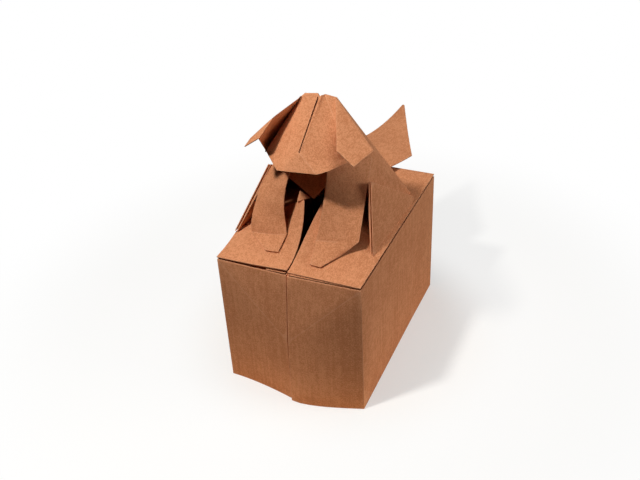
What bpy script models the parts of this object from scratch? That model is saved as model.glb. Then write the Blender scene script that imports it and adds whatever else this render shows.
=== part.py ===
"""Folded paper dog that sits on its own box, made from one sheet of brown kraft paper.

The box is a tray whose front wall is two halves that meet at a seam. Its lid is two
panels that rise towards the dog's chest, with a slit between them. The dog stands on the
lid: a cape of paper makes its back, flanks and front legs, and the head, the hind flaps
and the tail join it. Every patch is the middle surface of the pressed paper, which
Solidify thickens, and Boolean unions fuse the patches into the one sheet that they are.

Frame: X to the dog's left, which is the viewer's right, Y to the back, Z up. The origin
is on the floor under the middle of the box. Lengths are in metres.
"""

import bpy
import bmesh
from mathutils import Vector

MM = 0.001

# Pressed layers of paper that make each wall and flap
PAPER = 0.5 * MM

# Box
BOX_WIDTH = 60.0 * MM
BOX_DEPTH = 88.7 * MM
BOX_HEIGHT = 62.0 * MM
FRONT_BULGE_TOP = 0.7 * MM
FRONT_BULGE_MIDDLE = 3.1 * MM
RIGHT_BULGE_BOTTOM = 5.9 * MM
LEFT_BULGE_BOTTOM = 4.7 * MM
RIGHT_BOW = 1.7 * MM
RIGHT_BOW_X = 11.0 * MM
LEFT_BOW = 0.3 * MM
LEFT_BOW_X = 15.0 * MM
GUSSET_DROP = 31.0 * MM
SEAM_GAP = 0.3 * MM
SEAM_RETURN = 4.0 * MM
SEAM_RETURN_FOOT = 1.5 * MM
FLOOR_TRIM = 0.05 * MM
SIDE_CREASE_FROM_REAR = 28.0 * MM
SIDE_TUCK = 1.8 * MM

# Shadow line under the lid, and the hidden ledge that carries the lid
LID_GAP = 1.3 * MM
LEDGE_INSET = 1.1 * MM
LEDGE_HEIGHT = 6.0 * MM
LEDGE_SLOPE = 1.6 * MM
LID_EDGE_INSET = 0.2 * MM

# Slit between the lid panels, which opens and rises from the front edge to the chest
SLIT_HALF_AT_FRONT = 0.12 * MM
SLIT_HALF_AT_CHEST = 3.8 * MM
SLIT_OPENING_POWER = 3.0
LID_RISE = 16.1 * MM
LID_RISE_POWER = 1.7
LID_PEAK_FROM_FRONT = 27.0 * MM
SLIT_END_FROM_REAR = 20.0 * MM
LID_FRONT_ROWS = 8
LID_REAR_ROWS = 3

# Front legs: foot, bend and top of the inner and the outer edge, each as the distance
# from the middle, the distance from the box's front edge and the height over its top
RIGHT_FOOT_INNER = (6.3 * MM, 14.4 * MM, 6.7 * MM)
RIGHT_FOOT_OUTER = (22.2 * MM, 18.9 * MM, 6.7 * MM)
LEFT_FOOT_INNER = (7.0 * MM, 15.6 * MM, 5.6 * MM)
LEFT_FOOT_OUTER = (22.4 * MM, 16.2 * MM, 3.2 * MM)
RIGHT_BEND_INNER = (8.6 * MM, 16.2 * MM, 19.0 * MM)
LEFT_BEND_INNER = (10.2 * MM, 16.2 * MM, 19.0 * MM)
LEG_BEND_OUTER = (24.0 * MM, 19.5 * MM, 21.0 * MM)
NECK_HEIGHT = 35.2 * MM
NECK_FROM_FRONT = 29.3 * MM
NECK_INNER_X = 6.0 * MM
SHOULDER_X = 18.0 * MM
SHOULDER_FROM_FRONT = 44.3 * MM
SHOULDER_HEIGHT = 29.2 * MM
LEG_CROWN = 0.7 * MM
LEG_ROWS = 8
FLANK_FIRST_ROW = 6

# Paws, folded forward at the foot; the viewer's right one reaches further
PAW_CLEARANCE = 0.45 * MM
PAW_TIP_INNER_X = 7.3 * MM
PAW_TIP_OUTER_X = 11.6 * MM
PAW_HEEL_X = 16.8 * MM
PAW_HEEL_FROM_FRONT = 13.3 * MM
RIGHT_PAW_FROM_FRONT = 5.4 * MM
LEFT_PAW_FROM_FRONT = 7.9 * MM

# Back of the dog
RUMP_X = 25.3 * MM
RUMP_FROM_REAR = 18.4 * MM
SPINE_RIDGE = 1.5 * MM

# Bib on the chest
BIB_POINT_FROM_FRONT = 27.2 * MM
BIB_POINT_HEIGHT = 16.8 * MM
BIB_WING_X = 10.5 * MM
BIB_WING_FROM_FRONT = 29.3 * MM
BIB_WING_HEIGHT = 23.5 * MM
BIB_SEAT_DOWN = 0.2 * MM

# Head: top edge, centre line, jaw, cheek fold and ears
HEAD_TOP_FROM_FRONT = 39.0 * MM
HEAD_TOP_HEIGHT = 55.6 * MM
EAR_ROOT_X = 6.4 * MM
PEAK_X = 1.3 * MM
PEAK_BACK = 0.5 * MM
PEAK_UP = 0.7 * MM
NOTCH_FORWARD = 1.1 * MM
NOTCH_DOWN = 0.3 * MM
PARTING_LIP = 0.9 * MM
PARTING_LIP_UP = 0.55 * MM
RIGHT_GUSSET_SHARE = 0.51
LEFT_GUSSET_SHARE = 0.08
PLEAT_SEAT = 0.2 * MM
BROW_FROM_FRONT = 17.8 * MM
BROW_HEIGHT = 41.8 * MM
JAW_FROM_FRONT = 13.7 * MM
RIGHT_JAW_X = 8.4 * MM
RIGHT_JAW_HEIGHT = 36.6 * MM
LEFT_JAW_X = 7.8 * MM
LEFT_JAW_HEIGHT = 35.4 * MM
CHEEK_X = 17.4 * MM
CHEEK_FROM_FRONT = 24.2 * MM
CHEEK_HEIGHT = 36.5 * MM
EAR_FOLD_X = 15.8 * MM
EAR_FOLD_FROM_FRONT = 16.4 * MM
EAR_FOLD_HEIGHT = 46.1 * MM
EAR_TIP_FROM_FRONT = 15.6 * MM
RIGHT_EAR_TIP_X = 22.2 * MM
RIGHT_EAR_TIP_HEIGHT = 41.3 * MM
LEFT_EAR_TIP_X = 21.6 * MM
LEFT_EAR_TIP_HEIGHT = 42.1 * MM
RIGHT_EAR_BACK_X = 24.7 * MM
RIGHT_EAR_BACK_FROM_FRONT = 29.3 * MM
RIGHT_EAR_BACK_HEIGHT = 41.2 * MM
LEFT_EAR_BACK_X = 24.4 * MM
LEFT_EAR_BACK_FROM_FRONT = 25.5 * MM
LEFT_EAR_BACK_HEIGHT = 40.2 * MM

# Hind flaps, two layers of paper that stand along the sides of the lid
FLAP_TOP_X = 21.9 * MM
FLAP_TOP_FROM_FRONT = 33.4 * MM
FLAP_TOP_HEIGHT = 25.2 * MM
FLAP_FRONT_INSET = 2.3 * MM
FLAP_FRONT_FROM_FRONT = 19.3 * MM
LEFT_FLAP_OVERHANG = 1.0 * MM
LEFT_FLAP_FROM_FRONT = 16.6 * MM
LEFT_FLAP_HEIGHT = 1.5 * MM
FLAP_REAR_INSET = 0.7 * MM
FLAP_REAR_FROM_REAR = 28.2 * MM
FLAP_HEEL_INSET = 1.8 * MM
FLAP_HEEL_FROM_REAR = 24.6 * MM
FLAP_HEEL_HEIGHT = 1.7 * MM
FLAP_LAYER_GAP = 0.9 * MM

# Tail, a long leaf that leaves the back low down and curls up at its tip
TAIL_ROOT_X = 6.0 * MM
TAIL_ROOT_HEIGHT = 5.0 * MM
TAIL_CORNER_X = 17.4 * MM
TAIL_CORNER_PAST_REAR = 8.4 * MM
TAIL_CORNER_HEIGHT = 2.5 * MM
TAIL_TIP_PAST_REAR = 47.3 * MM
TAIL_TIP_HEIGHT = 7.4 * MM
TAIL_TIP_X = 0.5 * MM
RIGHT_TAIL_SAG = 1.8 * MM
LEFT_TAIL_SAG = 3.4 * MM
TAIL_SPINE_UP = 1.0 * MM
TAIL_ROWS = 5

FRONT = -BOX_DEPTH / 2
REAR = BOX_DEPTH / 2
SIDE = BOX_WIDTH / 2


def clear_scene():
    """Remove every object of the scene."""
    for item in list(bpy.data.objects):
        bpy.data.objects.remove(item, do_unlink=True)


def on_box(x, from_front, height):
    """Point over the lid, from the box's front edge and the height over its top."""
    return Vector((x, FRONT + from_front, BOX_HEIGHT + height))


def past_rear(x, behind, height):
    """Point behind the box's rear edge, or before it when behind is negative."""
    return Vector((x, REAR + behind, BOX_HEIGHT + height))


def curve(start, bend, end, share):
    """Point of the quadratic curve from start to end at the given share."""
    return start * (1 - share) ** 2 + bend * 2 * share * (1 - share) + end * share ** 2


def mix(first, second, share):
    """Point between two points."""
    return first + (second - first) * share


def grown(points, margin):
    """Corners of a facet moved away from its middle by a margin."""
    middle = sum(points, Vector()) / len(points)
    return [point + (point - middle).normalized() * margin for point in points]


def lid_fall():
    """Distance behind the chest over which the slit closes and the lid falls flat."""
    return BOX_DEPTH - SLIT_END_FROM_REAR - LID_PEAK_FROM_FRONT


def lid_rise(from_front):
    """Height of the slit's edge over the box's top at a distance from the front."""
    if from_front <= LID_PEAK_FROM_FRONT:
        return LID_RISE * (from_front / LID_PEAK_FROM_FRONT) ** LID_RISE_POWER
    return LID_RISE * max(0.0, 1 - (from_front - LID_PEAK_FROM_FRONT) / lid_fall())


def slit_half(from_front):
    """Half of the slit's width at a distance from the front."""
    if from_front <= LID_PEAK_FROM_FRONT:
        share = (from_front / LID_PEAK_FROM_FRONT) ** SLIT_OPENING_POWER
    else:
        share = max(0.0, 1 - (from_front - LID_PEAK_FROM_FRONT) / lid_fall())
    return SLIT_HALF_AT_FRONT + (SLIT_HALF_AT_CHEST - SLIT_HALF_AT_FRONT) * share


def lid_surface(x, from_front):
    """Middle of the lid's paper at a place of the viewer's right half."""
    half = slit_half(from_front)
    share = min(max((x - half) / (SIDE - half), 0.0), 1.0)
    return on_box(x, from_front, lid_rise(from_front) * (1 - share) - PAPER / 2)


def over_lid(x, from_front):
    """Middle of a paw's paper where it lies over the lid with its clearance."""
    return lid_surface(x, from_front) + Vector((0, 0, PAPER + PAW_CLEARANCE))


def lid_rows():
    """Distances from the front edge at which the lid's paper changes its slope."""
    rows = [LID_PEAK_FROM_FRONT * step / LID_FRONT_ROWS for step in range(LID_FRONT_ROWS)]
    rows += [LID_PEAK_FROM_FRONT + lid_fall() * step / LID_REAR_ROWS
             for step in range(LID_REAR_ROWS + 1)]
    return rows


def mirrored(points, faces):
    """Points and faces with their mirror copy; points on the middle plane are shared."""
    all_points = list(points)
    twin = {}
    for number, point in enumerate(points):
        twin[number] = number
        if point.x != 0.0:
            twin[number] = len(all_points)
            all_points.append(Vector((-point.x, point.y, point.z)))
    return all_points, faces + [[twin[number] for number in face] for face in faces]


def kraft_paper():
    """Plain brown kraft paper."""
    material = bpy.data.materials.new("kraft_paper")
    material.use_nodes = True
    shader = material.node_tree.nodes["Principled BSDF"]
    shader.inputs["Base Color"].default_value = (0.53, 0.24, 0.115, 1.0)
    shader.inputs["Roughness"].default_value = 0.85
    shader.inputs["Metallic"].default_value = 0.0
    material.diffuse_color = (0.53, 0.24, 0.115, 1.0)
    return material


def sheet(name, points, faces, material):
    """Object of one patch of paper, given its thickness about its middle surface."""
    mesh = bpy.data.meshes.new(name)
    mesh.from_pydata([tuple(point) for point in points], [], faces)
    work = bmesh.new()
    work.from_mesh(mesh)
    bmesh.ops.triangulate(work, faces=work.faces)
    bmesh.ops.recalc_face_normals(work, faces=work.faces)
    work.to_mesh(mesh)
    work.free()
    mesh.materials.append(material)
    patch = bpy.data.objects.new(name, mesh)
    bpy.context.collection.objects.link(patch)
    thickness = patch.modifiers.new("paper", "SOLIDIFY")
    thickness.thickness = PAPER
    thickness.offset = 0.0
    thickness.use_even_offset = True
    thickness.use_quality_normals = True
    patch.modifiers.new("facets", "TRIANGULATE")
    return patch


def fuse(body, patch):
    """Join a patch to the body, and keep the patch as a hidden guide."""
    union = body.modifiers.new(patch.name, "BOOLEAN")
    union.operation = "UNION"
    union.solver = "EXACT"
    union.use_self = True
    union.object = patch
    patch.hide_render = True
    patch.display_type = "WIRE"


def half_tray(hand, bulge, bow, bow_x):
    """One half of the tray's walls and floor, with its edge of the seam folded inwards."""
    side = SIDE - PAPER / 2
    front = FRONT + PAPER / 2
    rear = REAR - PAPER / 2
    low = PAPER / 2 - FLOOR_TRIM
    high = BOX_HEIGHT - LID_GAP
    seam = (SEAM_GAP + PAPER) / 2
    middle = BOX_HEIGHT - GUSSET_DROP
    foot = low + SEAM_RETURN_FOOT
    foot_bulge = bulge + (FRONT_BULGE_MIDDLE - bulge) * SEAM_RETURN_FOOT / (middle - low)
    bow_forward = bulge * (1 - bow_x / side) + bow
    crease = rear - SIDE_CREASE_FROM_REAR
    points = [
        Vector((side, front, high)),
        Vector((side, front, low)),
        Vector((seam, front - FRONT_BULGE_TOP, high)),
        Vector((seam, front - FRONT_BULGE_MIDDLE, middle)),
        Vector((seam, front - foot_bulge, foot)),
        Vector((seam, front - bulge, low)),
        Vector((seam, front - FRONT_BULGE_TOP + SEAM_RETURN, high)),
        Vector((seam, front - FRONT_BULGE_MIDDLE + SEAM_RETURN, middle)),
        Vector((seam, front - foot_bulge + SEAM_RETURN, foot)),
        Vector((side, crease, high)),
        Vector((side - SIDE_TUCK, crease, low)),
        Vector((side, rear, high)),
        Vector((side, rear, low)),
        Vector((bow_x, front - bow_forward, low)),
    ]
    faces = [
        [0, 2, 3],
        [0, 3, 13],
        [0, 13, 1],
        [3, 4, 13],
        [4, 5, 13],
        [2, 6, 7, 3],
        [3, 7, 8, 4],
        [0, 1, 10, 9],
        [9, 10, 12, 11],
        [1, 13, 10],
        [13, 5, 10],
    ]
    return [Vector((hand * point.x, point.y, point.z)) for point in points], faces


def box_tray():
    """Walls and floor of the box, as one patch."""
    rear = REAR - PAPER / 2
    points, faces = half_tray(1, RIGHT_BULGE_BOTTOM, RIGHT_BOW, RIGHT_BOW_X)
    left_points, left_faces = half_tray(-1, LEFT_BULGE_BOTTOM, LEFT_BOW, LEFT_BOW_X)
    offset = len(points)
    points += left_points
    faces += [[number + offset for number in face] for face in left_faces]
    rear_high = len(points)
    rear_low = rear_high + 1
    points.append(Vector((0.0, rear, BOX_HEIGHT - LID_GAP)))
    points.append(Vector((0.0, rear, PAPER / 2 - FLOOR_TRIM)))
    for start in (0, offset):
        faces.append([start + 11, start + 12, rear_low, rear_high])
        faces.append([start + 5, rear_low, start + 10])
        faces.append([start + 10, rear_low, start + 12])
    faces.append([5, offset + 5, rear_low])
    return points, faces


def lid_ledge():
    """Ring inside the walls that sets the lid back and above them."""
    side = SIDE - PAPER / 2
    edge = PAPER / 2
    foot = BOX_HEIGHT - LEDGE_HEIGHT
    slope = (LEDGE_HEIGHT - LID_GAP) / (GUSSET_DROP - LID_GAP)
    bulge = FRONT_BULGE_TOP + (FRONT_BULGE_MIDDLE - FRONT_BULGE_TOP) * slope
    inset_front = edge + LEDGE_INSET
    inset_rear = BOX_DEPTH - inset_front
    along = [row for row in lid_rows() if inset_front + edge < row < inset_rear - edge]
    stations = [(0.0, inset_front), (side - LEDGE_INSET, inset_front)]
    stations += [(side - LEDGE_INSET, row) for row in along]
    stations += [(side - LEDGE_INSET, inset_rear), (0.0, inset_rear)]
    on_wall = [(0.0, edge - bulge), (side, edge)]
    on_wall += [(side, row) for row in along]
    on_wall += [(side, BOX_DEPTH - edge), (0.0, BOX_DEPTH - edge)]
    points = [Vector((x, FRONT + row, foot)) for x, row in on_wall]
    points += [Vector((x, FRONT + row, foot + LEDGE_SLOPE)) for x, row in stations]
    points += [lid_surface(x, row) for x, row in stations]
    count = len(stations)
    faces = []
    for level in range(2):
        for corner in range(count - 1):
            start = level * count + corner
            faces.append([start, start + 1, start + count + 1, start + count])
    return mirrored(points, faces)


def lid_panel(hand):
    """Lid panel of one side; hand is 1 for the viewer's right and -1 for the left."""
    outer = SIDE - LID_EDGE_INSET
    rows = lid_rows() + [BOX_DEPTH]
    points = []
    for from_front in rows:
        half = slit_half(from_front)
        for share in (0.0, 0.5, 1.0):
            place = lid_surface(half + (outer - half) * share, from_front)
            points.append(Vector((hand * place.x, place.y, place.z)))
    faces = []
    for row in range(len(rows) - 1):
        for column in range(2):
            start = row * 3 + column
            faces.append([start, start + 1, start + 4, start + 3])
    return points, faces


def leg_and_flank(hand, foot_inner, foot_outer, bend_inner, paw_from_front, flap_foot_at):
    """One side of the cape: paw, leg, shoulder, flank and inner flap."""
    foot_inner = on_box(*foot_inner)
    foot_outer = on_box(*foot_outer)
    bend_inner = on_box(*bend_inner)
    neck = on_box(NECK_INNER_X, NECK_FROM_FRONT, NECK_HEIGHT)
    shoulder = on_box(SHOULDER_X, SHOULDER_FROM_FRONT, SHOULDER_HEIGHT)
    points = []
    for row in range(LEG_ROWS + 1):
        share = row / LEG_ROWS
        inner = curve(foot_inner, bend_inner, neck, share)
        outer = curve(foot_outer, on_box(*LEG_BEND_OUTER), shoulder, share)
        across = outer - inner
        outward = Vector((across.y, -across.x, 0.0)).normalized()
        points += [inner, mix(inner, outer, 0.5) + outward * LEG_CROWN, outer]
    faces = []
    for row in range(LEG_ROWS):
        start = row * 3
        faces.append([start, start + 1, start + 4, start + 3])
        faces.append([start + 1, start + 2, start + 5, start + 4])
    heel = len(points)
    tip_outer = heel + 1
    tip_inner = heel + 2
    shift = paw_from_front - RIGHT_PAW_FROM_FRONT
    points.append(over_lid(PAW_HEEL_X + shift, PAW_HEEL_FROM_FRONT))
    points.append(over_lid(PAW_TIP_OUTER_X + shift / 2, paw_from_front))
    points.append(over_lid(PAW_TIP_INNER_X, paw_from_front))
    faces += [[0, 1, tip_inner], [1, tip_outer, tip_inner], [1, heel, tip_outer], [1, 2, heel]]
    rump = len(points)
    ear_root = rump + 1
    flap_foot = rump + 2
    points.append(past_rear(RUMP_X, -RUMP_FROM_REAR, -PAPER / 2))
    points.append(on_box(EAR_ROOT_X, HEAD_TOP_FROM_FRONT, HEAD_TOP_HEIGHT))
    points.append(flap_foot_at - Vector((FLAP_LAYER_GAP, 0.0, 0.0)))
    for row in range(FLANK_FIRST_ROW, LEG_ROWS):
        faces.append([row * 3 + 2, rump, row * 3 + 5])
    top_inner = LEG_ROWS * 3
    faces.append([top_inner + 2, rump, ear_root])
    faces.append([top_inner, top_inner + 1, ear_root])
    faces.append([top_inner + 1, top_inner + 2, ear_root])
    faces.append([FLANK_FIRST_ROW * 3 + 2, flap_foot, rump])
    points = [Vector((hand * point.x, point.y, point.z)) for point in points]
    return points, faces, rump, ear_root


def dog_cape():
    """Back, flanks and front legs of the dog, as one patch."""
    points, faces, rump, ear_root = leg_and_flank(
        1, RIGHT_FOOT_INNER, RIGHT_FOOT_OUTER, RIGHT_BEND_INNER, RIGHT_PAW_FROM_FRONT,
        right_flap_foot())
    left_points, left_faces, _, _ = leg_and_flank(
        -1, LEFT_FOOT_INNER, LEFT_FOOT_OUTER, LEFT_BEND_INNER, LEFT_PAW_FROM_FRONT,
        left_flap_foot())
    offset = len(points)
    points += left_points
    faces += [[number + offset for number in face] for face in left_faces]
    notch = len(points)
    spine_foot = notch + 1
    points.append(head_top()[0])
    points.append(past_rear(0.0, SPINE_RIDGE - RUMP_FROM_REAR, -PAPER / 2))
    for hand, start in ((1, 0), (-1, offset)):
        peak = len(points)
        points.append(Vector((hand * PEAK_X, *head_top()[1].yz)))
        faces.append([spine_foot, start + rump, start + ear_root])
        faces.append([spine_foot, start + ear_root, peak])
        faces.append([spine_foot, peak, notch])
    return points, faces


def head_top():
    """Notch, peak and ear root of the top edge, on the viewer's right half."""
    return (
        on_box(0.0, HEAD_TOP_FROM_FRONT - NOTCH_FORWARD, HEAD_TOP_HEIGHT - NOTCH_DOWN),
        on_box(PEAK_X, HEAD_TOP_FROM_FRONT + PEAK_BACK, HEAD_TOP_HEIGHT + PEAK_UP),
        on_box(EAR_ROOT_X, HEAD_TOP_FROM_FRONT, HEAD_TOP_HEIGHT),
    )


def chest_bib():
    """Pointed bib between the legs, hung from the fold at the top of the head."""
    down = Vector((0.0, 0.0, -BIB_SEAT_DOWN))
    notch, peak, ear_root = [point + down for point in head_top()]
    neck = on_box(NECK_INNER_X, NECK_FROM_FRONT, NECK_HEIGHT)
    shoulder = on_box(SHOULDER_X, SHOULDER_FROM_FRONT, SHOULDER_HEIGHT)
    points = [
        notch,
        peak,
        ear_root,
        mix(neck, shoulder, 0.5),
        on_box(BIB_WING_X, BIB_WING_FROM_FRONT, BIB_WING_HEIGHT),
        on_box(0.0, BIB_POINT_FROM_FRONT, BIB_POINT_HEIGHT),
    ]
    return mirrored(points, [[0, 5, 4], [0, 4, 3, 1], [1, 3, 2]])


def ear_ridge_end():
    """Lower end of the ridge between an ear and its pleat, on the viewer's right."""
    return on_box(EAR_FOLD_X, EAR_FOLD_FROM_FRONT, EAR_FOLD_HEIGHT)


def face_side(hand):
    """Gusset corner, jaw, ear tip and ear back of one side, on the viewer's right."""
    ear_root = head_top()[2]
    if hand > 0:
        return (
            mix(ear_root, ear_ridge_end(), RIGHT_GUSSET_SHARE),
            on_box(RIGHT_JAW_X, JAW_FROM_FRONT, RIGHT_JAW_HEIGHT),
            on_box(RIGHT_EAR_TIP_X, EAR_TIP_FROM_FRONT, RIGHT_EAR_TIP_HEIGHT),
            on_box(RIGHT_EAR_BACK_X, RIGHT_EAR_BACK_FROM_FRONT, RIGHT_EAR_BACK_HEIGHT),
        )
    return (
        mix(ear_root, ear_ridge_end(), LEFT_GUSSET_SHARE),
        on_box(LEFT_JAW_X, JAW_FROM_FRONT, LEFT_JAW_HEIGHT),
        on_box(LEFT_EAR_TIP_X, EAR_TIP_FROM_FRONT, LEFT_EAR_TIP_HEIGHT),
        on_box(LEFT_EAR_BACK_X, LEFT_EAR_BACK_FROM_FRONT, LEFT_EAR_BACK_HEIGHT),
    )


def cheek_corner():
    """Lower end of the valley between the viewer's right face panel and ear."""
    return on_box(CHEEK_X, CHEEK_FROM_FRONT, CHEEK_HEIGHT)


def dog_head():
    """Face with its parting, its top gussets and the outsides of the ears."""
    notch, peak, ear_root = head_top()
    ear_fold = ear_ridge_end()
    brow = on_box(0.0, BROW_FROM_FRONT, BROW_HEIGHT)
    lip = notch + Vector((PARTING_LIP, PARTING_LIP / 3, PARTING_LIP_UP))
    points = [brow, notch, lip]
    faces = [[0, 1, 2]]
    jaws = []
    for hand in (1, -1):
        start = len(points)
        gusset, jaw, ear_tip, ear_back = face_side(hand)
        for point in (peak, gusset, cheek_corner(), jaw, ear_root, ear_back, ear_fold, ear_tip):
            points.append(Vector((hand * point.x, point.y, point.z)))
        inner_edge = 2 if hand > 0 else 1
        faces.append([0, inner_edge, start])
        faces.append([0, start, start + 1])
        faces.append([0, start + 1, start + 2])
        faces.append([0, start + 2, start + 3])
        faces.append([start, start + 4, start + 1])
        faces.append([start + 5, start + 4, start + 1])
        faces.append([start + 5, start + 1, start + 6])
        faces.append([start + 5, start + 6, start + 7])
        jaws.append(start + 3)
    faces.append([0] + jaws)
    return points, faces


def ear_pleat(hand):
    """Inside of an ear's pleat, between the valley at the cheek and the ear's ridge."""
    corners = grown([face_side(hand)[0], ear_ridge_end(), cheek_corner()], PLEAT_SEAT)
    points = [Vector((hand * point.x, point.y, point.z)) for point in corners]
    return points, [[0, 1, 2]]


def right_flap_foot():
    """Front foot of the viewer's right hind flap, seated in the lid."""
    return lid_surface(SIDE - FLAP_FRONT_INSET, FLAP_FRONT_FROM_FRONT)


def left_flap_foot():
    """Front foot of the viewer's left hind flap, spread out over the lid's edge."""
    return on_box(SIDE + LEFT_FLAP_OVERHANG, LEFT_FLAP_FROM_FRONT, LEFT_FLAP_HEIGHT)


def hind_flap(hand, foot):
    """Outer layer of a hind flap, whose base is seated in the lid."""
    points = (
        foot,
        on_box(FLAP_TOP_X, FLAP_TOP_FROM_FRONT, FLAP_TOP_HEIGHT),
        past_rear(SIDE - FLAP_HEEL_INSET, -FLAP_HEEL_FROM_REAR, FLAP_HEEL_HEIGHT),
        past_rear(SIDE - FLAP_REAR_INSET, -FLAP_REAR_FROM_REAR, -PAPER / 2),
    )
    points = [Vector((hand * point.x, point.y, point.z)) for point in points]
    return points, [[0, 1, 2], [0, 2, 3]]


def tail_edge(hand, sag):
    """Points of one edge of the tail, from its root to its tip."""
    slope = (BOX_DEPTH - RUMP_FROM_REAR - HEAD_TOP_FROM_FRONT) / HEAD_TOP_HEIGHT
    root_behind = -RUMP_FROM_REAR - slope * TAIL_ROOT_HEIGHT
    root = past_rear(hand * TAIL_ROOT_X, root_behind, TAIL_ROOT_HEIGHT)
    corner = past_rear(hand * TAIL_CORNER_X, TAIL_CORNER_PAST_REAR, TAIL_CORNER_HEIGHT)
    tip = past_rear(hand * TAIL_TIP_X, TAIL_TIP_PAST_REAR, TAIL_TIP_HEIGHT)
    bend = mix(corner, tip, 0.5) - Vector((0, 0, 2 * sag))
    edge = [root, mix(root, corner, 0.5)]
    return edge + [curve(corner, bend, tip, row / TAIL_ROWS) for row in range(TAIL_ROWS + 1)]


def dog_tail():
    """Leaf-shaped tail with a low spine, curled up towards its tip."""
    points = []
    for right, left in zip(tail_edge(1, RIGHT_TAIL_SAG), tail_edge(-1, LEFT_TAIL_SAG)):
        ridge = TAIL_SPINE_UP * right.x / TAIL_CORNER_X
        points += [left, mix(left, right, 0.5) + Vector((0.0, 0.0, ridge)), right]
    faces = []
    for row in range(len(points) // 3 - 1):
        for column in range(2):
            start = row * 3 + column
            faces.append([start, start + 1, start + 4, start + 3])
    return points, faces


def ground():
    """Block whose top is the table's surface, which trims the floor of the box flat."""
    bpy.ops.mesh.primitive_cube_add(size=1.0, location=(0.0, 0.0, -BOX_HEIGHT / 2))
    block = bpy.context.active_object
    block.name = "ground"
    size = Vector((3 * BOX_WIDTH, 3 * BOX_DEPTH, BOX_HEIGHT))
    for vertex in block.data.vertices:
        vertex.co = [along * span for along, span in zip(vertex.co, size)]
    return block


def trim(body, block):
    """Cut the body flat with a block, and keep the block as a hidden guide."""
    cut = body.modifiers.new(block.name, "BOOLEAN")
    cut.operation = "DIFFERENCE"
    cut.solver = "EXACT"
    cut.object = block
    block.hide_render = True
    block.display_type = "WIRE"


def main():
    """Build the patches and fuse them into one folded sheet."""
    clear_scene()
    paper = kraft_paper()
    body = sheet("origami_dog", *box_tray(), paper)
    patches = [
        ("lid_ledge", lid_ledge()),
        ("lid_panel_right", lid_panel(1)),
        ("lid_panel_left", lid_panel(-1)),
        ("dog_cape", dog_cape()),
        ("chest_bib", chest_bib()),
        ("dog_head", dog_head()),
        ("ear_pleat_right", ear_pleat(1)),
        ("ear_pleat_left", ear_pleat(-1)),
        ("dog_tail", dog_tail()),
        ("hind_flap_right", hind_flap(1, right_flap_foot())),
        ("hind_flap_left", hind_flap(-1, left_flap_foot())),
    ]
    for name, (points, faces) in patches:
        fuse(body, sheet(name, points, faces, paper))
    trim(body, ground())


main()
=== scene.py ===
"""Paper dog that stands on its own box, folded from one sheet of brown kraft paper.

Every patch of the sheet is laid out from named corners, panel by panel, then creased,
bowed between its creases, given the thickness of the pressed paper and rounded along its
edges. Places are given as (x, from_front, height) in millimetres: from the middle to the
viewer's right, back from the box's front edge, and up from the top of the box.
"""

import logging
import math
from dataclasses import dataclass, field
from enum import Enum

import bmesh
import bpy
import numpy as np
from mathutils import Matrix, Vector, noise


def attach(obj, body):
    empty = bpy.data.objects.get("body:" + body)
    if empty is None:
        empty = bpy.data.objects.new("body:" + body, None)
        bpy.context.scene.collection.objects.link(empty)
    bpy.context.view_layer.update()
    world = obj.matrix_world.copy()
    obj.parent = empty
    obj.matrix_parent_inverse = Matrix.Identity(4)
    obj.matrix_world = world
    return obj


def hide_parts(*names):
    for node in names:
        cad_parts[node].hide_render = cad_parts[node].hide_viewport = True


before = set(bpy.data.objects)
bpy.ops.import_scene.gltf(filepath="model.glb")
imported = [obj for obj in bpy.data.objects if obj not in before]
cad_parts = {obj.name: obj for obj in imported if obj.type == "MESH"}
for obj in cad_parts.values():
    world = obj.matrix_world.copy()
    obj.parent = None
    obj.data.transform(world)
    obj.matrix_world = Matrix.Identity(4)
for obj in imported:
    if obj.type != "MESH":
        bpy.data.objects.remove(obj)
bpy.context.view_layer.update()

Place = tuple[float, float, float]
Panel = tuple[str, ...]
Colour = tuple[float, float, float]

MM = 0.001
BOX_WIDTH = 60.0
BOX_DEPTH = 88.7
BOX_HEIGHT = 62.0
SIDE = BOX_WIDTH / 2
PRESSED = 0.5
NOTCH: Place = (0.0, 37.9, 55.3)
PEAK: Place = (1.6, 39.5, 56.05)
EAR_ROOT: Place = (6.4, 39.0, 55.6)
RUMP_FROM_FRONT = BOX_DEPTH - 18.4
FAR_FROM_LINES = 20.0
NODE = "origami_dog"
SLOT = "kraft_paper"
WHITE = (1.0, 1.0, 1.0, 1.0)

log = logging.getLogger("paper_dog")


class Hand(Enum):
    """Side of the dog as the viewer sees it."""

    RIGHT = 1
    LEFT = -1

    @property
    def tag(self) -> str:
        """Name of the side, as pieces and corners carry it."""
        return self.name.lower()


def at(place: Place, hand: Hand = Hand.RIGHT) -> Vector:
    """Turn a place on the right half into a point of the model.

    Args:
        place: distance from the middle, distance from the front edge, height over the top.
        hand: side on which the point lies.

    Returns:
        The point in metres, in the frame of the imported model.
    """
    x, from_front, height = place
    return Vector((hand.value * x, from_front - BOX_DEPTH / 2, height + BOX_HEIGHT)) * MM


def between(start: Place, end: Place, share: float) -> Place:
    """Place on the straight line from start to end at the given share."""
    return tuple(a + (b - a) * share for a, b in zip(start, end))


def bent(start: Place, bend: Place, end: Place, share: float) -> Place:
    """Place at a share of the curve that leaves start towards bend and arrives at end."""
    return between(between(start, bend, share), between(bend, end, share), share)


def cell(row: int, column: int, tag: str = "") -> Panel:
    """Panel of a grid of corners, that ends at the given row and column."""
    return (f"{tag}{row - 1}_{column - 1}", f"{tag}{row - 1}_{column}",
            f"{tag}{row}_{column}", f"{tag}{row}_{column - 1}")


def strip(side: str, other: str, number: int) -> Panel:
    """Panel between two rows of corners, that ends at the given number."""
    return (f"{side}_{number - 1}", f"{other}_{number - 1}", f"{other}_{number}",
            f"{side}_{number}")


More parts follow.
